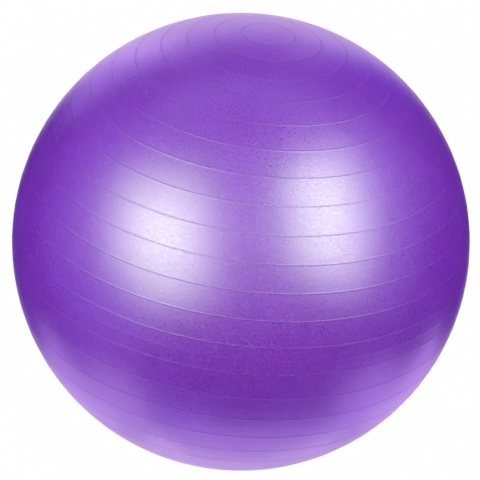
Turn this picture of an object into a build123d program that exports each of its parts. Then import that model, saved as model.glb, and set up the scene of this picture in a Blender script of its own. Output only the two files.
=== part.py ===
from build123d import *
import os
from math import cos, radians, sin, sqrt

os.makedirs("parts", exist_ok=True)

# An inflated exercise ball: a thin ribbed skin, the valve seat fused into it, and the plug that
# closes the seat. Sizes are in millimetres. +Z is the axis of the rings, and the origin is the
# middle of the flat spot on which the ball rests.

# The skin, inflated
ball_diameter = 650.0  # outside, between the ribs
skin_wall = 0.9

# The flat spot that the ball's weight presses against the floor at its air pressure
patch_radius = 31.0

# The rings: round-topped ribs round the axis. Each half of the mould has its own even pitch, in
# degrees about the ball's centre, counted from that half's pole
upper_ring_count = 13
upper_cap_angle = 6.5
upper_ring_pitch = 6.55
lower_ring_count = 12
lower_cap_angle = 9.5
lower_ring_pitch = 7.1
rib_width = 3.2
rib_height = 0.5
hollow_width = 8.0  # the shallow hollow inside, behind each rib
hollow_depth = 0.15

# The mould's parting line, a finer rib midway between the two halves' last rings, and the small
# pip at the upper pole
seam_width = 1.6
seam_height = 0.25
pip_width = 5.0
pip_height = 0.3

# The valve seat, on the parting line, facing +Y: a disc flush with the skin, a wider flange fused
# inside it, and a sleeve that reaches in and grips the plug
seat_disc_radius = 13.0
seat_flange_overlap = 5.0
seat_flange_wall = 1.2
seat_bore_radius = 4.3
seat_sleeve_wall = 3.0
seat_sleeve_length = 14.0  # from the skin's outside
seat_tool_notch_radius = 2.6  # in the recess's edge, where a fingernail or a lever gets under

# The plug: a round head in the seat's recess, and a stem with two sealing beads and a hollow tip
plug_head_radius = 8.0
plug_head_thickness = 1.8
plug_head_sunk = 0.2  # below the skin's outside
plug_head_gap = 0.35  # round the head, in the recess
plug_head_dimple_radius = 2.2
plug_head_dimple_depth = 0.5
plug_clearance = 0.05  # between a sealing bead and the bore, on the radius
plug_neck_relief = 0.5  # the stem between the beads is thinner than they are, on the radius
plug_bead_length = 2.4
plug_length = 20.0  # from the head's outside
plug_tip_radius = 2.9
plug_tip_length = 3.5
plug_core_radius = 1.6
plug_core_depth = 12.0

ball_radius = ball_diameter / 2
inner_radius = ball_radius - skin_wall
centre_height = sqrt(ball_radius**2 - patch_radius**2)
upper_rings = [upper_cap_angle + k * upper_ring_pitch for k in range(upper_ring_count)]
lower_rings = [180 - lower_cap_angle - k * lower_ring_pitch for k in range(lower_ring_count)]
seam_angle = (max(upper_rings) + min(lower_rings)) / 2
BIG = 2 * ball_diameter


def bump(base, angle, width, height):
    """A circle that stands out of a round outline as a rib, at an angle in degrees from its top."""
    radius = (width**2 / 4 + height**2) / (2 * height)
    out = base + height - radius
    return Pos(out * sin(radians(angle)), out * cos(radians(angle))) * Circle(radius)


def half_above(low):
    """The half plane to the right of the axis, above a height measured from the ball's centre."""
    return Pos(BIG / 2, low + BIG / 2) * Rectangle(BIG, BIG)


def turned(outline):
    """An outline right of the axis, measured from the ball's centre, turned about +Z."""
    return revolve(Plane.XZ * outline, Axis.Z)


def shell_band(outer, inner, reach):
    """The part of a spherical shell that lies within a distance of the axis, at its upper pole."""
    return (Circle(outer) - Circle(inner)) & Pos(reach / 2, outer) * Rectangle(reach, outer)


def block(left, right, low, high):
    """A plain rectangle given by its sides."""
    return Pos((left + right) / 2, (low + high) / 2) * Rectangle(right - left, high - low)


# What is built about +Z then points out through the parting line, towards +Y
to_valve = Pos(0, 0, centre_height) * Rot(X=-seam_angle)

# Ball skin: the outline with its ribs, less the air inside, less the hole for the seat
outline = Circle(ball_radius)
inner_outline = Circle(inner_radius)
for angle in upper_rings + lower_rings:
    outline += bump(ball_radius, angle, rib_width, rib_height)
    inner_outline += bump(inner_radius, angle, hollow_width, hollow_depth)
outline += bump(ball_radius, seam_angle, seam_width, seam_height)
outline += bump(ball_radius, 0, pip_width, pip_height)
outside = turned(outline & half_above(-centre_height))
inside = turned(inner_outline & half_above(-centre_height + skin_wall))
ball_shell = Pos(0, 0, centre_height) * (outside - inside)
seat_hole = Pos(0, 0, ball_radius) * Cylinder(seat_disc_radius, ball_radius)
ball_shell -= to_valve * seat_hole

# Valve seat
sleeve_radius = seat_bore_radius + seat_sleeve_wall
recess_radius = plug_head_radius + plug_head_gap
recess_floor = ball_radius - plug_head_sunk - plug_head_thickness
seat_outline = shell_band(ball_radius, inner_radius, seat_disc_radius)
flange_radius = seat_disc_radius + seat_flange_overlap
seat_outline += shell_band(inner_radius, inner_radius - seat_flange_wall, flange_radius)
boss_radius = recess_radius + seat_sleeve_wall / 2
boss_low = recess_floor - seat_sleeve_wall / 2
seat_outline += block(0, boss_radius, boss_low, inner_radius) & Circle(inner_radius)
seat_outline += block(0, sleeve_radius, ball_radius - seat_sleeve_length, boss_low)
seat_outline -= block(0, recess_radius, recess_floor, ball_radius + 1)
seat_outline -= block(0, seat_bore_radius, 0, ball_radius)
valve_seat = turned(seat_outline)
notch = Pos(0, recess_radius, ball_radius) * Cylinder(
    seat_tool_notch_radius, 2 * (ball_radius - recess_floor)
)
valve_seat -= notch
valve_seat = to_valve * valve_seat

# Valve plug
bead_radius = seat_bore_radius - plug_clearance
neck_radius = bead_radius - plug_neck_relief
head_top = ball_radius - plug_head_sunk
tip_end = head_top - plug_length
plug_outline = block(0, plug_head_radius, recess_floor, head_top) & Circle(head_top)
plug_outline += block(0, neck_radius, tip_end + plug_tip_length, recess_floor)
for bead_top in (recess_floor, ball_radius - seat_sleeve_length + 2 * plug_bead_length):
    plug_outline += block(0, bead_radius, bead_top - plug_bead_length, bead_top)
tip_top = tip_end + plug_tip_length
plug_outline += make_face(
    Polyline((0, tip_top), (neck_radius, tip_top), (plug_tip_radius, tip_end), (0, tip_end), close=True)
)
plug_outline -= block(0, plug_core_radius, tip_end, tip_end + plug_core_depth)
plug_outline -= block(0, plug_head_dimple_radius, head_top - plug_head_dimple_depth, head_top)
valve_plug = to_valve * turned(plug_outline)

for name, piece in (("ball_shell", ball_shell), ("valve_seat", valve_seat), ("valve_plug", valve_plug)):
    piece.label = name
    export_step(piece, f"parts/{name}.step")
    print(name, "solids", len(piece.solids()), "volume", round(piece.volume, 1))
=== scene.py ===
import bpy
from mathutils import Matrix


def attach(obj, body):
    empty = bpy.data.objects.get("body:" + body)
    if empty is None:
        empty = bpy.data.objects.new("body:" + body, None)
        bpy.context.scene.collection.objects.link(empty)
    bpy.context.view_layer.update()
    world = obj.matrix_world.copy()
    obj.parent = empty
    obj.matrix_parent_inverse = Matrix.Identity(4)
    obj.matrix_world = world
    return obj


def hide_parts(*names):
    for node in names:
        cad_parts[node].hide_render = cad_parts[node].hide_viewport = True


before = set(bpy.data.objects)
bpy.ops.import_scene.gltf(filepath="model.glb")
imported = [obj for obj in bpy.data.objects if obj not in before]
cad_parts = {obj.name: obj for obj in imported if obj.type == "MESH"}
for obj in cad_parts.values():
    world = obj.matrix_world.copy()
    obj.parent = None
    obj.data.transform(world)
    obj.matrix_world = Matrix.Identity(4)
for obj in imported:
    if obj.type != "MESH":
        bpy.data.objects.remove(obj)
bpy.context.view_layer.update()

import math

import bpy
import numpy as np
from mathutils import Matrix, Vector

scene = bpy.context.scene

# the ball as the skin's maker would give it, in metres and degrees
ball = {
    "radius": 0.325,
    "patchRadius": 0.031,  # flat spot on the floor
    "wall": 0.0009,
    "upperRings": 13, "upperCap": 6.5, "upperPitch": 6.55,
    "lowerRings": 12, "lowerCap": 9.5, "lowerPitch": 7.1,
    "ribWidth": 0.0030, "ribHeight": 0.00016,
    "seamWidth": 0.0018, "seamHeight": 0.00007,
    "pipWidth": 0.0050, "pipHeight": 0.00025,
    "columns": 224,
    "rowStep": 1.9,  # degrees between rows where the skin is plain
    "portRadius": 0.0130,  # hole for the valve seat
}
ballRadius = ball["radius"]
centreHeight = math.sqrt(ballRadius**2 - ball["patchRadius"]**2)
centre = Vector((0, 0, centreHeight))
upperRings = ball["upperCap"] + ball["upperPitch"] * np.arange(ball["upperRings"])
lowerRings = 180 - ball["lowerCap"] - ball["lowerPitch"] * np.arange(ball["lowerRings"])
ringAngles = np.sort(np.concatenate([upperRings, lowerRings]))
seamAngle = (upperRings.max() + lowerRings.min()) / 2
perDegree = math.radians(1) * ballRadius  # metres of skin to a degree
# the valve's own directions: across, down the skin towards the floor, and straight out
seamTilt = math.radians(seamAngle)
valveAxis = Vector((0, math.sin(seamTilt), math.cos(seamTilt)))
valveDown = Vector((0, math.cos(seamTilt), -math.sin(seamTilt)))  # towards the floor, along the skin
valveSide = valveDown.cross(valveAxis)
toValve = np.array(Matrix((valveSide, valveDown, valveAxis)).transposed())
print("ball: centre height", round(centreHeight, 5), "seam at", round(seamAngle, 3))

shot = {
    "elevation": 29.0,  # of the camera above the rings' plane
    "lean": 7.6,  # the rings' axis leans this far to the camera's right
    "distance": 8.71,  # in ball radii
    "radiusInFrame": 228.9 / 480,
    "offset": (0.9 / 480, -1.7 / 480),  # ball's centre from the frame's middle, right and up
}
elevation, lean = math.radians(shot["elevation"]), math.radians(shot["lean"])
toCamera = Vector((0, -math.cos(elevation), math.sin(elevation)))
levelRight = Vector((1, 0, 0))
levelUp = toCamera.cross(levelRight)
cameraRight = levelRight * math.cos(lean) + levelUp * math.sin(lean)
cameraUp = levelUp * math.cos(lean) - levelRight * math.sin(lean)
cameraDistance = shot["distance"] * ballRadius
focal = shot["radiusInFrame"] * math.sqrt(shot["distance"]**2 - 1)  # in frame widths

cameraData = bpy.data.cameras.new("camera")
cameraData.sensor_width = 36
cameraData.lens = 36 * focal
cameraData.clip_start, cameraData.clip_end = 0.05, 60
camera = bpy.data.objects.new("camera", cameraData)
scene.collection.objects.link(camera)
scene.camera = camera
eye = centre + toCamera * cameraDistance
aim = centre - (cameraRight * shot["offset"][0] + cameraUp * shot["offset"][1]) * cameraDistance / focal
back = (eye - aim).normalized()
right = cameraUp.cross(back).normalized()
up = back.cross(right)
camera.matrix_world = Matrix.Translation(eye) @ Matrix((right, up, back)).transposed().to_4x4()


# a soft light card at the bearings and heights it covers as seen from the ball, with the
# camera's own side at bearing 0; it faces the ball, and its radiance may lean to a colour
def lightCard(card):
    bearing, height = math.radians(sum(card["across"]) / 2), math.radians(sum(card["up"]) / 2)
    wide, tall = (math.radians(card[way][1] - card[way][0]) for way in ("across", "up"))
    out = cameraRight * math.sin(bearing) * math.cos(height) + cameraUp * math.sin(height)
    out = out + toCamera * math.cos(bearing) * math.cos(height)
    data = bpy.data.lights.new(card["name"], "AREA")
    data.shape = "RECTANGLE"
    data.size = 2 * studioReach * math.tan(wide / 2) * math.cos(height)
    data.size_y = 2 * studioReach * math.tan(tall / 2)
    strength = max(card["radiance"])
    data.energy = strength * math.pi * data.size * data.size_y
    data.color = [part / strength for part in card["radiance"]]
    lamp = bpy.data.objects.new(card["name"], data)
    scene.collection.objects.link(lamp)
    side = cameraUp.cross(out).normalized()
    turn = Matrix((side, out.cross(side), out)).transposed().to_4x4()
    lamp.matrix_world = Matrix.Translation(centre + out * studioReach) @ turn
    lamp.visible_camera = False


studioReach = 1.7  # metres from the ball's centre to each card
# the bearings and heights are chosen by hand; the radiances are not: a separate fitting
# script solved them, so they are to be replaced when the light is set by hand
for card in (
    {"name": "softboxLeft", "across": (-49, -16), "up": (-24, 18), "radiance": (3.27, 3.87, 2.54)},
    {"name": "spillLeft", "across": (-60, -20), "up": (-10, 30), "radiance": (2.15, 2.47, 1.17)},
    {"name": "softboxRight", "across": (20, 50), "up": (-10, 30), "radiance": (3.06, 3.82, 2.15)},
    {"name": "spillRight", "across": (30, 60), "up": (-20, 40), "radiance": (1.93, 2.04, 1.45)},
    {"name": "frontLeft", "across": (-100, -40), "up": (-40, 50), "radiance": (0.15, 0.12, 0.53)},
    {"name": "frontMiddle", "across": (-40, 30), "up": (-28, 50), "radiance": (0.21, 0.28, 0.29)},
    {"name": "frontRight", "across": (30, 90), "up": (-28, 50), "radiance": (0.26, 0.21, 0.54)},
    {"name": "backLow", "across": (150, 210), "up": (-40, 0), "radiance": (1.19, 0.99, 1.09)},
    {"name": "backHigh", "across": (150, 210), "up": (0, 60), "radiance": (1.45, 1.12, 1.48)},
    {"name": "wingLowRight", "across": (120, 150), "up": (-40, -20), "radiance": (1.50, 0.95, 2.01)},
    {"name": "wingLowLeft", "across": (210, 240), "up": (-40, -20), "radiance": (1.36, 0.95, 1.71)},
    {"name": "wingHighRight", "across": (120, 150), "up": (30, 60), "radiance": (0.07, 0.01, 0.56)},
    {"name": "wingHighLeft", "across": (210, 240), "up": (30, 60), "radiance": (1.00, 0.67, 1.60)},
    {"name": "topBackRight", "across": (120, 180), "up": (60, 75), "radiance": (0.96, 0.56, 1.51)},
    {"name": "topBackLeft", "across": (180, 240), "up": (60, 75), "radiance": (0.99, 0.61, 1.52)},
    {"name": "topFront", "across": (-60, 60), "up": (60, 80), "radiance": (0.37, 0.41, 0.66)},
    {"name": "floorBack", "across": (150, 210), "up": (-60, -40), "radiance": (1.77, 1.30, 1.84)},
    {"name": "floorLeft", "across": (210, 270), "up": (-60, -40), "radiance": (1.28, 0.86, 1.73)},
    {"name": "floorRight", "across": (90, 150), "up": (-60, -40), "radiance": (1.36, 0.83, 2.15)},
    {"name": "underBackRight", "across": (120, 180), "up": (-82, -60), "radiance": (1.34, 0.78, 2.19)},
    {"name": "underBackLeft", "across": (180, 240), "up": (-82, -60), "radiance": (1.30, 0.76, 1.88)},
    {"name": "underLeft", "across": (240, 300), "up": (-82, -60), "radiance": (0.27, 0.19, 0.89)},
):
    lightCard(card)

world = bpy.data.worlds.new("studio")
scene.world = world
world.use_nodes = True
tree = world.node_tree
tree.nodes.clear()
worldOut = tree.nodes.new("ShaderNodeOutputWorld")
paper = tree.nodes.new("ShaderNodeBackground")
paper.inputs["Color"].default_value = (1, 1, 1, 1)
dim = tree.nodes.new("ShaderNodeBackground")
dim.inputs["Color"].default_value = (0.015, 0.013, 0.02, 1)
seen = tree.nodes.new("ShaderNodeLightPath")
pick = tree.nodes.new("ShaderNodeMixShader")
tree.links.new(seen.outputs["Is Camera Ray"], pick.inputs["Fac"])
tree.links.new(dim.outputs[0], pick.inputs[1])
tree.links.new(paper.outputs[0], pick.inputs[2])
tree.links.new(pick.outputs[0], worldOut.inputs["Surface"])

scene.view_settings.view_transform = "Standard"
scene.view_settings.look = "None"
print("camera and light: done")


# a mesh from whole arrays: vertices (n, 3), and lists of quads (m, 4) and triangles (k, 3)
def meshFrom(name, points, quads, triangles=None):
    mesh = bpy.data.meshes.new(name)
    quads = np.asarray(quads, np.int32).reshape(-1, 4)
    if triangles is None:
        triangles = np.zeros((0, 3), np.int32)
    triangles = np.asarray(triangles, np.int32).reshape(-1, 3)
    corners = np.concatenate([quads.ravel(), triangles.ravel()])
    totals = np.concatenate([np.full(len(quads), 4), np.full(len(triangles), 3)])
    starts = np.concatenate([[0], np.cumsum(totals)[:-1]])
    mesh.vertices.add(len(points))
    mesh.vertices.foreach_set("co", np.asarray(points, np.float32).ravel())
    mesh.loops.add(len(corners))
    mesh.loops.foreach_set("vertex_index", corners.astype(np.int32))
    mesh.polygons.add(len(totals))
    mesh.polygons.foreach_set("loop_start", starts.astype(np.int32))
    mesh.polygons.foreach_set("loop_total", totals.astype(np.int32))
    mesh.polygons.foreach_set("use_smooth", np.ones(len(totals), bool))
    mesh.update(calc_edges=True)
    mesh.validate()
    mesh.set_sharp_from_angle(angle=math.radians(38))
    piece = bpy.data.objects.new(name, mesh)
    scene.collection.objects.link(piece)
    return piece


# smooth step: 0 below the first edge, 1 above the second, with no kink
def smooth(edgeLow, edgeHigh, x):
    t = np.clip((x - edgeLow) / (edgeHigh - edgeLow), 0, 1)
    return t * t * (3 - 2 * t)


# height of a soft rib: half a cosine wave squared across its width, nothing outside it
def ribHeight(distance, width, height):
    s = np.clip(np.abs(distance) / (width / 2), 0, 1)
    return height * np.cos(s * math.pi / 2)**2


# a new material with its tree, its Principled shader and the object's own coordinates
def newMaterial(name):
    material = bpy.data.materials.new(name)
    material.use_nodes = True
    tree = material.node_tree
    shader = tree.nodes["Principled BSDF"]
    place = tree.nodes.new("ShaderNodeTexCoord").outputs["Object"]
    return material, tree, shader, place


def mathNode(tree, operation, *values, clamp=False):
    node = tree.nodes.new("ShaderNodeMath")
    node.operation = operation
    node.use_clamp = clamp
    for socket, value in zip(node.inputs, values):
        if isinstance(value, (int, float)):
            socket.default_value = value
        else:
            tree.links.new(value, socket)
    return node.outputs[0]


# noise between 0 and 1 with so many grains to the metre
def noiseNode(tree, place, grains, detail=2.0, roughness=0.5, stretch=None):
    if stretch is not None:
        mapping = tree.nodes.new("ShaderNodeMapping")
        mapping.inputs["Scale"].default_value = stretch
        tree.links.new(place, mapping.inputs["Vector"])
        place = mapping.outputs[0]
    node = tree.nodes.new("ShaderNodeTexNoise")
    node.inputs["Scale"].default_value = grains
    node.inputs["Detail"].default_value = detail
    node.inputs["Roughness"].default_value = roughness
    tree.links.new(place, node.inputs["Vector"])
    return node.outputs["Fac"]


# a value spread between two ends as its source runs from one edge to another
def rangeNode(tree, source, fromLow, fromHigh, toLow, toHigh, kind="SMOOTHSTEP"):
    node = tree.nodes.new("ShaderNodeMapRange")
    node.interpolation_type = kind
    ends = {"From Min": fromLow, "From Max": fromHigh, "To Min": toLow, "To Max": toHigh}
    for socket, value in ends.items():
        node.inputs[socket].default_value = value
    tree.links.new(source, node.inputs["Value"])
    return node.outputs["Result"]


def mixNode(tree, share, first, second, blend="MIX"):
    node = tree.nodes.new("ShaderNodeMix")
    node.data_type = "RGBA"
    node.blend_type = blend
    for name, value in (("Factor", share), ("A", first), ("B", second)):
        socketType = "VALUE" if name == "Factor" else "RGBA"
        socket = [one for one in node.inputs if one.name == name and one.type == socketType][0]
        if isinstance(value, (int, float)):
            socket.default_value = value
        elif isinstance(value, tuple):
            socket.default_value = (*value, 1)
        else:
            tree.links.new(value, socket)
    return [one for one in node.outputs if one.type == "RGBA"][0]


def bumpNode(tree, height, strength, distance, under=None):
    node = tree.nodes.new("ShaderNodeBump")
    node.inputs["Strength"].default_value = strength
    node.inputs["Distance"].default_value = distance
    tree.links.new(height, node.inputs["Height"])
    if under is not None:
        tree.links.new(under, node.inputs["Normal"])
    return node.outputs[0]


# grey colour from a value, to multiply a colour by
def greyNode(tree, value):
    node = tree.nodes.new("ShaderNodeCombineColor")
    for socket in node.inputs:
        tree.links.new(value, socket)
    return node.outputs[0]


# share of a soft-edged spot, an ellipsoid about one point of the piece, lengths in metres along
# its own three directions
def spotNode(tree, place, middle, turns, lengths, softness=0.5):
    mapping = tree.nodes.new("ShaderNodeMapping")
    mapping.vector_type = "TEXTURE"
    mapping.inputs["Location"].default_value = middle
    mapping.inputs["Rotation"].default_value = turns
    mapping.inputs["Scale"].default_value = lengths
    tree.links.new(place, mapping.inputs["Vector"])
    length = tree.nodes.new("ShaderNodeVectorMath")
    length.operation = "LENGTH"
    tree.links.new(mapping.outputs[0], length.inputs[0])
    return rangeNode(tree, length.outputs["Value"], 1 - softness, 1, 1, 0)


# distance of the skin from the ball's centre: the plain radius plus the nearest ring's rib, the
# parting line's finer rib (which fades out round the valve) and the pip at the upper pole
def skinRadius(polar, azimuth):
    nearest = np.abs(polar[..., None] - ringAngles).min(axis=-1) * perDegree
    r = ballRadius + ribHeight(nearest, ball["ribWidth"], ball["ribHeight"])
    fromSeam = (polar - seamAngle) * perDegree
    fromValve = np.hypot(fromSeam, (azimuth - 90) * perDegree)
    r = r + ribHeight(fromSeam, ball["seamWidth"], ball["seamHeight"]) * smooth(0.020, 0.036, fromValve)
    return r + ribHeight(polar * perDegree, ball["pipWidth"], ball["pipHeight"])


# a strip of triangles between two loops that run the same way round, each given by its
# vertices and their angles: every edge of either loop joins the vertex that the other loop has
# reached by the middle of that edge
def stitch(insideLoop, insideAngles, outsideLoop, outsideAngles):
    def middles(angles):
        return angles + np.mod(np.roll(angles, -1) - angles, 2 * math.pi) / 2

    insideTurn, outsideTurn = middles(insideAngles), middles(outsideAngles)
    reachedInside = np.searchsorted(insideTurn, outsideTurn) % len(insideLoop)
    reachedOutside = np.searchsorted(outsideTurn, insideTurn) % len(outsideLoop)
    fromOutside = np.stack([outsideLoop, np.roll(outsideLoop, -1), insideLoop[reachedInside]], -1)
    fromInside = np.stack([np.roll(insideLoop, -1), insideLoop, outsideLoop[reachedOutside]], -1)
    return np.vstack([fromOutside, fromInside])


# a ball of revolution with a round port at the valve: rows of polar angle by columns of azimuth,
# less a window of cells round the valve, which is filled by rings about the valve's own axis;
# ring radii and how far each ring lies under the skin are given from the port's edge outwards
def ballShell(rows, columns, radiusAt, windowRows, windowColumns, collar, poles):
    middle, quarter = int(np.argmin(np.abs(rows - seamAngle))), columns // 4
    azimuths = 360 * np.arange(columns) / columns
    polar, azimuth = np.meshgrid(rows, azimuths, indexing="ij")
    r = radiusAt(polar, azimuth)
    p, a = np.radians(polar), np.radians(azimuth)
    xyz = np.stack([r * np.sin(p) * np.cos(a), r * np.sin(p) * np.sin(a), r * np.cos(p)], -1).reshape(-1, 3)
    i, j = np.meshgrid(np.arange(len(rows) - 1), np.arange(columns), indexing="ij")
    jn = (j + 1) % columns
    quads = np.stack([i * columns + j, (i + 1) * columns + j, (i + 1) * columns + jn, i * columns + jn], -1)
    du, dv = j - quarter, i - middle
    inside = (du >= -windowColumns) & (du < windowColumns) & (dv >= -windowRows) & (dv < windowRows)
    quads = quads[~inside]
    # the window's edge, one vertex after another, in order of its angle about the valve's axis
    w, h = windowColumns, windowRows
    across, down = np.meshgrid(np.arange(-w, w + 1), np.arange(-h, h + 1))
    onEdge = (np.abs(across) == w) | (np.abs(down) == h)
    edge = (middle + down[onEdge]) * columns + quarter + across[onEdge]
    flat = xyz[edge] @ toValve[:, :2]
    angles = np.mod(np.arctan2(flat[:, 1], flat[:, 0]), 2 * math.pi)
    order = np.argsort(angles)
    edge, angles = edge[order], angles[order]
    # rings about the valve's axis, from the port outwards
    turns = 96
    spin = 2 * math.pi * (np.arange(turns) + 0.5) / turns
    ringRadius, ringSunk = np.array(collar).T
    ringReach = ringRadius[:, None]
    local = np.stack([ringReach * np.cos(spin), ringReach * np.sin(spin), 0 * spin + 0 * ringReach], -1)
    base = radiusAt(np.full(1, seamAngle), np.full(1, 90.0))[0]
    local[..., 2] = np.sqrt((base - ringSunk[:, None])**2 - ringRadius[:, None]**2)
    start = len(xyz)
    rings = local.reshape(-1, 3) @ toValve.T
    k, t = np.meshgrid(np.arange(len(collar) - 1), np.arange(turns), indexing="ij")
    tn = (t + 1) % turns
    ringQuads = [k * turns + t, (k + 1) * turns + t, (k + 1) * turns + tn, k * turns + tn]
    ringQuads = start + np.stack(ringQuads, -1).reshape(-1, 4)
    lastRing = start + (len(collar) - 1) * turns + np.arange(turns)
    strip = stitch(lastRing, spin, edge, angles)
    points = np.vstack([xyz, rings, [(0, 0, poles[0]), (0, 0, -poles[1])]])
    n, around, low = len(points) - 2, np.arange(columns), (len(rows) - 1) * columns
    caps = np.vstack([
        np.stack([np.full(columns, n), around, np.roll(around, -1)], -1),
        np.stack([np.full(columns, n + 1), low + np.roll(around, -1), low + around], -1),
    ])
    quads, triangles = np.vstack([quads, ringQuads]), np.vstack([strip, caps])
    port = start + np.arange(turns)
    # vertices left over inside the window go
    used = np.unique(np.concatenate([quads.ravel(), triangles.ravel()]))
    renumber = np.full(len(points), -1)
    renumber[used] = np.arange(len(used))
    return points[used], renumber[quads], renumber[triangles], renumber[port]


# rows crowd together over each rib and stand evenly between them
def skinRows():
    across = np.linspace(-0.5, 0.5, 9)
    across = np.concatenate([[-0.68], across, [0.68]]) * ball["ribWidth"] / perDegree
    ribs = (ringAngles[:, None] + across).ravel()
    seam = seamAngle + np.linspace(-0.5, 0.5, 7) * ball["seamWidth"] / perDegree
    edges = np.concatenate([[0], ringAngles, [180]])
    plain = []
    for low, high in zip(edges[:-1], edges[1:]):
        if low < seamAngle < high:
            beside = np.array([0.0060, 0.0115, 0.0170]) / perDegree
            plain += [seamAngle - beside, seamAngle + beside]
        else:
            count = max(int(round((high - low) / ball["rowStep"])), 2)
            plain.append(np.linspace(low, high, count + 1)[1:-1])
    pip = np.array([0.12, 0.24, 0.36, 0.48])
    floorEdge = 180 - math.degrees(math.asin(ball["patchRadius"] / ballRadius))
    floorEdge = floorEdge + np.array([-0.6, -0.3, 0, 0.3, 0.6])
    rows = np.unique(np.round(np.concatenate([ribs, seam, pip, floorEdge, *plain]), 5))
    return rows[(rows > 0.05) & (rows < 179.5)]


# the flat spot: heights below the floor come up to it, with a soft bend at its edge
def pressFlat(points, floor, bend=0.00025):
    z = points[:, 2] - floor
    points[:, 2] = floor + (z + np.sqrt(z * z + bend * bend)) / 2
    return points


rows = skinRows()
edgeRound = 0.00035  # the port's rim is a quarter round
lip = ball["portRadius"] + edgeRound * (1 - np.cos(np.radians([0, 18, 36, 54, 72, 90])))
lipSunk = edgeRound * (1 - np.sin(np.radians([0, 18, 36, 54, 72, 90])))
collar = [*zip(lip, lipSunk), (0.0137, 0), (0.0145, 0), (0.0156, 0)]
band = np.abs((rows - seamAngle) * perDegree)
outer, outerQuads, outerTriangles, outerPort = ballShell(
    rows, ball["columns"], skinRadius, int((band < 0.0171).sum() // 2), 2, collar,
    (ballRadius + ball["pipHeight"], ballRadius))
outer = pressFlat(outer, -centreHeight)

innerRadius = ballRadius - ball["wall"]
innerRows = [np.arange(3, seamAngle - 2, 3.0), [seamAngle], np.arange(seamAngle + 3, 177.5, 3.0)]
innerRows = np.concatenate(innerRows)
inner, innerQuads, innerTriangles, innerPort = ballShell(
    innerRows, 112, lambda polar, azimuth: innerRadius + 0 * polar, 1, 1,
    [(ball["portRadius"], 0), (0.0145, 0)], (innerRadius, innerRadius))
inner = pressFlat(inner, -centreHeight + ball["wall"])

shift = len(outer)
wallQuads = [outerPort, np.roll(outerPort, -1), np.roll(innerPort, -1) + shift, innerPort + shift]
wallQuads = np.stack(wallQuads, -1)
skinPoints = np.vstack([outer, inner]) + np.array(centre)
skinQuads = np.vstack([outerQuads, innerQuads[:, ::-1] + shift, wallQuads])
skinCaps = np.vstack([outerTriangles, innerTriangles[:, ::-1] + shift])
skin = meshFrom("ballSkin", skinPoints, skinQuads, skinCaps)
print("skin: rows", len(rows), "faces", len(skin.data.polygons), "triangles",
      2 * len(skinQuads) + len(skinCaps))
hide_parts("ball_shell")
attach(skin, "ball")

# how far up a rib's side each point stands, kept with the mesh for the worn crests and the painted shade on
# the ribs
skinPolar = np.degrees(np.arccos(np.clip((skinPoints[:, 2] - centreHeight)
                                         / np.linalg.norm(skinPoints - np.array(centre), axis=1), -1, 1)))
crest = ribHeight(np.abs(skinPolar[:, None] - ringAngles).min(axis=1) * perDegree, ball["ribWidth"], 1)
skin.data.attributes.new("crest", "FLOAT", "POINT").data.foreach_set("value", crest.astype(np.float32))

pearl = {
    "colour": (0.205, 0.015, 0.575),
    "deepColour": (0.170, 0.011, 0.49),
    "roughness": (0.34, 0.40),
    "grains": 520,  # moulded grain, to the metre
    "index": 2.5,
    "marks": (  # their angles were worked out by a separate script
        # polar angle, azimuth, turn about the skin's own normal, half lengths in mm, colour, strength
        {"polar": 74.0, "azimuth": 324.3, "turn": 20, "half": (1.3, 0.8),
         "colour": (0.045, 0.012, 0.11), "strength": 0.85},
        {"polar": 78.9, "azimuth": 279.0, "turn": 80, "half": (1.0, 0.8),
         "colour": (0.06, 0.015, 0.14), "strength": 0.75},
        {"polar": 119.4, "azimuth": 250.7, "turn": 35, "half": (1.1, 0.9),
         "colour": (0.04, 0.010, 0.10), "strength": 0.85},
        {"polar": 118.2, "azimuth": 251.8, "turn": 40, "half": (5.5, 0.7),
         "colour": (0.10, 0.030, 0.25), "strength": 0.5},
        {"polar": 100.6, "azimuth": 262.1, "turn": 8, "half": (14.0, 0.55),
         "colour": (0.50, 0.27, 0.80), "strength": 0.55},
        {"polar": 101.5, "azimuth": 264.5, "turn": 14, "half": (7.0, 0.5),
         "colour": (0.48, 0.25, 0.78), "strength": 0.4},
        {"polar": 9.5, "azimuth": 357.0, "turn": 60, "half": (6.0, 2.2),
         "colour": (0.38, 0.22, 0.62), "strength": 0.35},
    ),
}


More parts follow.
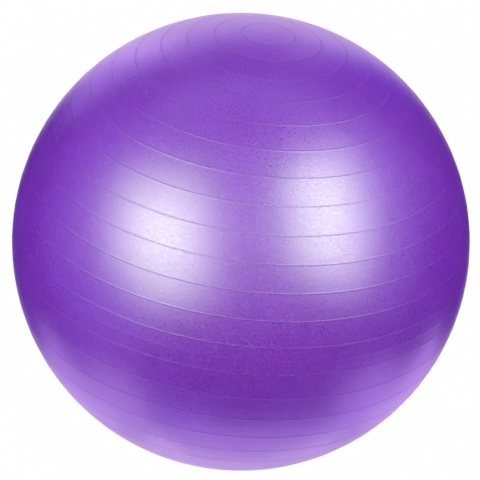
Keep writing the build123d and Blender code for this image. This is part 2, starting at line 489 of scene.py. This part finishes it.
def skinMaterialFrom(recipe):
    material, tree, shader, place = newMaterial("pearlVinyl")
    grain = noiseNode(tree, place, recipe["grains"], 2.5, 0.6)
    pores = noiseNode(tree, place, recipe["grains"] * 2.3, 1.0, 0.5)
    mottle = noiseNode(tree, place, 26, 5.0, 0.62)
    cloud = noiseNode(tree, place, 4.2, 3.0, 0.5)
    hair = noiseNode(tree, place, 9, 6.0, 0.7, (0.6, 1.0, 16.0))
    # colour: the pigment's shade follows slow clouds and mottling, and each grain is a little
    # lighter or darker than the next
    shade = rangeNode(tree, mottle, 0.30, 0.70, 0.0, 0.55, "LINEAR")
    colour = mixNode(tree, shade, recipe["colour"], recipe["deepColour"])
    speckle = mathNode(tree, "ADD", rangeNode(tree, grain, 0.25, 0.75, 0.88, 1.12, "LINEAR"),
                       rangeNode(tree, cloud, 0.3, 0.7, -0.03, 0.03, "LINEAR"))
    colour = mixNode(tree, 1.0, colour, greyNode(tree, speckle), "MULTIPLY")
    # pearl flakes: the highest grains are pale lilac, the lowest pores between them dark
    flake = mathNode(tree, "MULTIPLY", rangeNode(tree, grain, 0.54, 0.70, 0.0, 0.26),
                     rangeNode(tree, pores, 0.35, 0.6, 0.25, 1.0))
    colour = mixNode(tree, flake, colour, (0.50, 0.26, 0.82))
    pit = rangeNode(tree, grain, 0.46, 0.30, 0.0, 0.02)
    colour = mixNode(tree, pit, colour, (0.085, 0.004, 0.27))
    # painted shade: the ribs are painted deeper purple than the bands so they read as darker lines, and
    # rubbed a touch paler where the mottling is high
    crestNode = tree.nodes.new("ShaderNodeAttribute")
    crestNode.attribute_name = "crest"
    colour = mixNode(tree, mathNode(tree, "MULTIPLY", crestNode.outputs["Fac"], 0.60), colour,
                     (0.115, 0.006, 0.36))
    rubbed = mathNode(tree, "MULTIPLY", crestNode.outputs["Fac"],
                      rangeNode(tree, mottle, 0.55, 0.75, 0.0, 0.22))
    colour = mixNode(tree, rubbed, colour, (0.34, 0.13, 0.66))
    # fine scuffs lie along the rings, in patches
    scuff = mathNode(tree, "MULTIPLY", rangeNode(tree, hair, 0.66, 0.74, 0.0, 1.0),
                     rangeNode(tree, cloud, 0.5, 0.62, 0.0, 0.22))
    colour = mixNode(tree, scuff, colour, (0.42, 0.20, 0.72))
    # floor dust clings to the lowest band, thinning upwards and broken up by the mottling
    height = tree.nodes.new("ShaderNodeSeparateXYZ")
    tree.links.new(place, height.inputs[0])
    low = rangeNode(tree, height.outputs["Z"], 0.002, 0.020, 0.40, 0.0)
    dust = mathNode(tree, "MULTIPLY", low, rangeNode(tree, mottle, 0.35, 0.65, 0.2, 1.0))
    colour = mixNode(tree, dust, colour, (0.36, 0.32, 0.40))
    # single marks: specks, short scuffs and one rubbed smudge
    for mark in recipe["marks"]:
        p, a = math.radians(mark["polar"]), math.radians(mark["azimuth"])
        normal = Vector((math.sin(p) * math.cos(a), math.sin(p) * math.sin(a), math.cos(p)))
        east = Vector((-math.sin(a), math.cos(a), 0))
        along = Matrix.Rotation(math.radians(mark["turn"]), 3, normal) @ east
        frameTurn = Matrix((along, normal.cross(along), normal)).transposed().to_euler()
        lengths = (mark["half"][0] / 1000, mark["half"][1] / 1000, 0.004)
        share = spotNode(tree, place, centre + normal * ballRadius, frameTurn, lengths, 0.7)
        broken = mathNode(tree, "MULTIPLY", share,
                          rangeNode(tree, grain, 0.3, 0.55, 0.35 * mark["strength"], mark["strength"]))
        colour = mixNode(tree, broken, colour, mark["colour"])
    tree.links.new(colour, shader.inputs["Base Color"])
    # roughness: clouds of handling, grain by grain, and duller where scuffed, dusty or rubbed
    low, high = recipe["roughness"]
    rough = mathNode(tree, "ADD", rangeNode(tree, cloud, 0.35, 0.65, low, high, "LINEAR"),
                     rangeNode(tree, grain, 0.3, 0.7, -0.12, 0.12, "LINEAR"))
    rough = mathNode(tree, "ADD", rough, mathNode(tree, "MULTIPLY", crestNode.outputs["Fac"], 0.14))
    rough = mathNode(tree, "ADD", rough, mathNode(tree, "MULTIPLY", scuff, 0.4))
    rough = mathNode(tree, "ADD", rough, mathNode(tree, "MULTIPLY", dust, 0.6), clamp=True)
    tree.links.new(rough, shader.inputs["Roughness"])
    shader.inputs["IOR"].default_value = recipe["index"]
    # relief: moulded grain, finer pores, and slow waviness of blown vinyl
    wave = bumpNode(tree, noiseNode(tree, place, 11, 2.0, 0.4), 0.25, 0.0012)
    relief = bumpNode(tree, grain, 0.42, 0.00042, wave)
    relief = bumpNode(tree, pores, 0.22, 0.00012, relief)
    tree.links.new(relief, shader.inputs["Normal"])
    return material


skin.data.materials.append(skinMaterialFrom(pearl))
print("skin's material: done")

# the valve looks along its own axis from the ball's centre; lengths in metres from that centre
valve = {
    "discRadius": 0.01285, "discEdge": 0.0004,
    "recessRadius": 0.00835, "recessFloor": 0.3230,
    "notchRadius": 0.0026,
    "boreRadius": 0.0043,
    "bossRadius": 0.00985, "bossLow": 0.3215,
    "sleeveRadius": 0.0073, "sleeveLow": 0.3110,
    "flangeRadius": 0.0180, "flangeTop": 0.3240, "flangeLow": 0.3229,
    "turns": 144,
}


# each corner of a profile is rounded: its two sides meet in a short even curve that starts and
# ends the corner's own radius away from it
def roundedProfile(corners, closed, steps=4):
    points = np.array([corner[:2] for corner in corners], float)
    radii = np.array([corner[2] for corner in corners], float)
    before, after = np.roll(points, 1, axis=0) - points, np.roll(points, -1, axis=0) - points
    longBefore, longAfter = np.linalg.norm(before, axis=1), np.linalg.norm(after, axis=1)
    cut = np.minimum(radii, 0.45 * np.minimum(longBefore, longAfter))
    if not closed:
        cut[[0, -1]] = 0
    first = points + before * (cut / np.maximum(longBefore, 1e-9))[:, None]
    last = points + after * (cut / np.maximum(longAfter, 1e-9))[:, None]
    t = np.linspace(0, 1, steps + 1)[None, :, None]
    curve = (1 - t)**2 * first[:, None] + 2 * t * (1 - t) * points[:, None] + t**2 * last[:, None]
    out = [curve[k] if cut[k] > 0 else points[k:k + 1] for k in range(len(points))]
    return np.concatenate(out)


# long straight runs of a profile get points in between
def filledProfile(profile, closed, longest=0.0012):
    following = np.roll(profile, -1, axis=0) if closed else np.vstack([profile[1:], profile[-1:]])
    out = []
    for start, end in zip(profile, following):
        pieces = max(int(math.ceil(np.linalg.norm(end - start) / longest)), 1)
        out.append(start + (end - start) * (np.arange(pieces) / pieces)[:, None])
    return np.concatenate(out)


# a profile turned about the valve's axis; radiusAt may push rings outwards by the turn
def turned(name, profile, closed, turns, radiusAt=None):
    angle = 2 * math.pi * np.arange(turns) / turns
    radius = np.repeat(profile[:, :1], turns, axis=1)
    if radiusAt is not None:
        radius = radiusAt(profile, radius, angle[None, :])
    local = np.stack([radius * np.sin(angle), radius * np.cos(angle),
                      np.repeat(profile[:, 1:], turns, axis=1)], -1)
    points = local.reshape(-1, 3) @ toValve.T + np.array(centre)
    count = len(profile) if closed else len(profile) - 1
    i, j = np.meshgrid(np.arange(count), np.arange(turns), indexing="ij")
    ahead, aside = (i + 1) % len(profile), (j + 1) % turns
    quads = np.stack([i * turns + j, i * turns + aside, ahead * turns + aside, ahead * turns + j],
                     -1).reshape(-1, 4)
    triangles = None
    if not closed:
        ends = np.array([[0, 0, profile[0, 1]], [0, 0, profile[-1, 1]]]) @ toValve.T + np.array(centre)
        n = len(points)
        points = np.vstack([points, ends])
        around = np.arange(turns)
        low = (len(profile) - 1) * turns
        triangles = np.vstack([
            np.stack([np.full(turns, n), np.roll(around, -1), around], -1),
            np.stack([np.full(turns, n + 1), low + around, low + np.roll(around, -1)], -1),
        ])
    piece = meshFrom(name, points, quads, triangles)
    return piece


def onBall(r, radius=ballRadius):
    return math.sqrt(radius**2 - r**2)


# the seat: a disc flush with the skin, with the plug's round recess, a boss behind it, the long
# sleeve and the thin flange that is welded under the skin
seatCorners = (
    (valve["recessRadius"], onBall(valve["recessRadius"]), 0.00025),
    (0.0107, onBall(0.0107), 0.0),
    (valve["discRadius"], onBall(valve["discRadius"]), valve["discEdge"]),
    (valve["discRadius"], valve["flangeTop"] - 0.0003, 0.0002),
    (valve["flangeRadius"], onBall(valve["flangeRadius"], valve["flangeTop"]), 0.0003),
    (valve["flangeRadius"], onBall(valve["flangeRadius"], valve["flangeLow"]), 0.0003),
    (valve["bossRadius"], onBall(valve["bossRadius"], valve["flangeLow"]), 0.0003),
    (valve["bossRadius"], valve["bossLow"], 0.0004),
    (valve["sleeveRadius"], valve["bossLow"], 0.0006),
    (valve["sleeveRadius"], valve["sleeveLow"], 0.0005),
    (valve["boreRadius"], valve["sleeveLow"], 0.0005),
    (valve["boreRadius"], valve["recessFloor"], 0.0003),
    (valve["recessRadius"], valve["recessFloor"], 0.0003),
)


# the recess's wall and rim step outwards into the thumb notch: the notch is a small circle
# centred on the recess's edge, and its reach by the turn comes from the circle's own equation
def withNotch(profile, radius, angle):
    c, small = valve["recessRadius"], valve["notchRadius"]
    inside = small**2 - (c * np.sin(angle))**2
    reach = np.where((inside > 0) & (np.cos(angle) > 0),
                     c * np.cos(angle) + np.sqrt(np.maximum(inside, 0)), c)
    extra = np.maximum(reach - c, 0)
    height, r = profile[:, 1:], profile[:, :1]
    wall = (height > valve["recessFloor"] - 0.00002) & (r < 0.0125)
    # rings further out are squeezed together so that they never cross the notch's edge
    share = np.where(wall, np.clip((0.0125 - r) / (0.0125 - c), 0, 1), 0)
    share = np.where(wall & (r <= c + 0.00026), 1.0, share)
    share = np.where((r < c - 0.0004), 0, share)
    return radius + extra * share


seatProfile = filledProfile(roundedProfile(seatCorners, True), True)
seat = turned("valveSeatBody", seatProfile, True, valve["turns"], withNotch)
print("seat: faces", len(seat.data.polygons))
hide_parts("valve_seat")
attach(seat, "ball")

stopper = {
    "headRadius": 0.0080, "headTop": 0.3248, "headLow": 0.3230,
    "dimpleRadius": 0.0022, "dimpleDepth": 0.0005,
    "neck": 0.00375, "bead": 0.00425, "beadLength": 0.0024,
    "secondBeadTop": 0.3158,
    "tipRadius": 0.0029, "tipLength": 0.0035, "low": 0.3048,
    "coreRadius": 0.0016, "coreTop": 0.3168,
}
plugCorners = (
    (0.0000005, stopper["headTop"] - stopper["dimpleDepth"], 0.0),
    (stopper["dimpleRadius"] - 0.0003, stopper["headTop"] - stopper["dimpleDepth"], 0.0003),
    (stopper["dimpleRadius"] + 0.0002, onBall(stopper["dimpleRadius"], stopper["headTop"]), 0.0003),
    (0.0050, onBall(0.0050, stopper["headTop"]), 0.0),
    (stopper["headRadius"], onBall(stopper["headRadius"], stopper["headTop"]) - 0.0001, 0.0006),
    (stopper["headRadius"], stopper["headLow"], 0.0003),
    (stopper["bead"], stopper["headLow"], 0.0002),
    (stopper["bead"], stopper["headLow"] - stopper["beadLength"], 0.0004),
    (stopper["neck"], stopper["headLow"] - stopper["beadLength"] - 0.0004, 0.0003),
    (stopper["neck"], stopper["secondBeadTop"] + 0.0003, 0.0003),
    (stopper["bead"], stopper["secondBeadTop"], 0.0004),
    (stopper["bead"], stopper["secondBeadTop"] - stopper["beadLength"], 0.0004),
    (stopper["neck"], stopper["secondBeadTop"] - stopper["beadLength"] - 0.0003, 0.0003),
    (stopper["neck"], stopper["low"] + stopper["tipLength"], 0.0006),
    (stopper["tipRadius"], stopper["low"], 0.0006),
    (stopper["coreRadius"], stopper["low"], 0.0003),
    (stopper["coreRadius"], stopper["coreTop"], 0.0004),
    (0.0000005, stopper["coreTop"], 0.0),
)
plugProfile = filledProfile(roundedProfile(plugCorners, False), False, 0.0008)
plug = turned("valveStopper", plugProfile, False, 96)
print("plug: faces", len(plug.data.polygons))
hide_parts("valve_plug")
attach(plug, "plug")


# softer moulded vinyl of the seat: deeper purple, fine matt grain, dust lodged in the recess
def seatMaterialFrom(recipe):
    material, tree, shader, place = newMaterial("softVinyl")
    grain = noiseNode(tree, place, recipe["grains"], 3.0, 0.6)
    mottle = noiseNode(tree, place, 130, 4.0, 0.6)
    colour = mixNode(tree, rangeNode(tree, mottle, 0.35, 0.65, 0.0, 1.0, "LINEAR"), recipe["colour"],
                     recipe["deepColour"])
    colour = mixNode(tree, 1.0, colour,
                     greyNode(tree, rangeNode(tree, grain, 0.3, 0.7, 0.88, 1.12, "LINEAR")), "MULTIPLY")
    # dust settles where the surface stands low under the ball's outside
    outward = tree.nodes.new("ShaderNodeVectorMath")
    outward.operation = "DISTANCE"
    tree.links.new(place, outward.inputs[0])
    outward.inputs[1].default_value = centre
    deep = rangeNode(tree, outward.outputs["Value"], 0.3226, 0.3246, 0.55, 0.0)
    dust = mathNode(tree, "MULTIPLY", deep, rangeNode(tree, mottle, 0.3, 0.65, 0.25, 1.0))
    colour = mixNode(tree, dust, colour, (0.30, 0.24, 0.36))
    tree.links.new(colour, shader.inputs["Base Color"])
    rough = mathNode(tree, "ADD", rangeNode(tree, mottle, 0.35, 0.65, *recipe["roughness"], "LINEAR"),
                     mathNode(tree, "MULTIPLY", dust, 0.35), clamp=True)
    tree.links.new(rough, shader.inputs["Roughness"])
    shader.inputs["IOR"].default_value = recipe["index"]
    relief = bumpNode(tree, grain, 0.35, 0.00012)
    tree.links.new(bumpNode(tree, mottle, 0.3, 0.0002, relief), shader.inputs["Normal"])
    return material


seat.data.materials.append(seatMaterialFrom({
    "colour": (0.165, 0.016, 0.44), "deepColour": (0.125, 0.011, 0.35), "roughness": (0.44, 0.56),
    "grains": 1500, "index": 1.9,
}))


# white plastic of the plug: fine spark-eroded grain, slight yellowing in clouds, handling grime
# along the head's edge and a few scratches left by the lifting tool
def plugMaterialFrom(recipe):
    material, tree, shader, place = newMaterial("whitePlastic")
    grain = noiseNode(tree, place, recipe["grains"], 2.0, 0.5)
    cloud = noiseNode(tree, place, 160, 3.0, 0.55)
    scratch = noiseNode(tree, place, 260, 4.0, 0.7, (0.25, 1.0, 5.0))
    colour = mixNode(tree, rangeNode(tree, cloud, 0.35, 0.7, 0.0, 1.0, "LINEAR"), recipe["colour"],
                     recipe["agedColour"])
    away = tree.nodes.new("ShaderNodeVectorMath")
    away.operation = "DISTANCE"
    tree.links.new(place, away.inputs[0])
    away.inputs[1].default_value = centre + valveAxis * stopper["headTop"]
    edge = rangeNode(tree, away.outputs["Value"], 0.0062, 0.0081, 0.0, 0.45)
    grime = mathNode(tree, "MULTIPLY", edge, rangeNode(tree, cloud, 0.35, 0.6, 0.2, 1.0))
    colour = mixNode(tree, grime, colour, (0.42, 0.38, 0.36))
    lines = rangeNode(tree, scratch, 0.66, 0.72, 0.0, 0.35)
    colour = mixNode(tree, lines, colour, (0.62, 0.60, 0.60))
    colour = mixNode(tree, 1.0, colour,
                     greyNode(tree, rangeNode(tree, grain, 0.3, 0.7, 0.95, 1.03, "LINEAR")), "MULTIPLY")
    tree.links.new(colour, shader.inputs["Base Color"])
    rough = mathNode(tree, "ADD", rangeNode(tree, cloud, 0.3, 0.7, *recipe["roughness"], "LINEAR"),
                     mathNode(tree, "MULTIPLY", mathNode(tree, "ADD", grime, lines), 0.4), clamp=True)
    tree.links.new(rough, shader.inputs["Roughness"])
    shader.inputs["IOR"].default_value = 1.49
    shader.inputs["Subsurface Weight"].default_value = 0.08
    shader.inputs["Subsurface Radius"].default_value = (0.0012, 0.0011, 0.0010)
    relief = bumpNode(tree, grain, 0.3, 0.00006)
    tree.links.new(bumpNode(tree, scratch, 0.15, 0.0001, relief), shader.inputs["Normal"])
    return material


plug.data.materials.append(plugMaterialFrom({
    "colour": (0.84, 0.83, 0.81), "agedColour": (0.78, 0.76, 0.71), "roughness": (0.34, 0.46), "grains": 2600,
}))
print("valve: done")

floorMesh = meshFrom("floor", [(-15, -15, 0), (15, -15, 0), (15, 15, 0), (-15, 15, 0)], [(0, 1, 2, 3)])


# white paper that gives off even light of its own, with a painted contact shadow that darkens it close round
# the ball's foot, and a faint paper grain
def paperMaterial():
    material, tree, shader, place = newMaterial("palePaper")
    reach = tree.nodes.new("ShaderNodeVectorMath")
    reach.operation = "LENGTH"
    tree.links.new(place, reach.inputs[0])
    # painted shadow: the paper's emission falls to 0.70 close round the ball's foot
    paintedFootShadow = rangeNode(tree, reach.outputs["Value"], 0.03, 0.13, 0.70, 1.0)
    fibre = rangeNode(tree, noiseNode(tree, place, 900, 3.0, 0.6), 0.3, 0.7, 0.990, 1.0, "LINEAR")
    glowWithPaintedShadow = mathNode(tree, "MULTIPLY", paintedFootShadow, fibre)
    shader.inputs["Base Color"].default_value = (0, 0, 0, 1)
    shader.inputs["Roughness"].default_value = 0.9
    shader.inputs["Specular IOR Level"].default_value = 0.0
    tree.links.new(greyNode(tree, glowWithPaintedShadow), shader.inputs["Emission Color"])
    shader.inputs["Emission Strength"].default_value = 1.0
    return material


floorMesh.data.materials.append(paperMaterial())
floorMesh.visible_glossy = False
floorMesh.visible_diffuse = False
floorMesh.visible_shadow = False
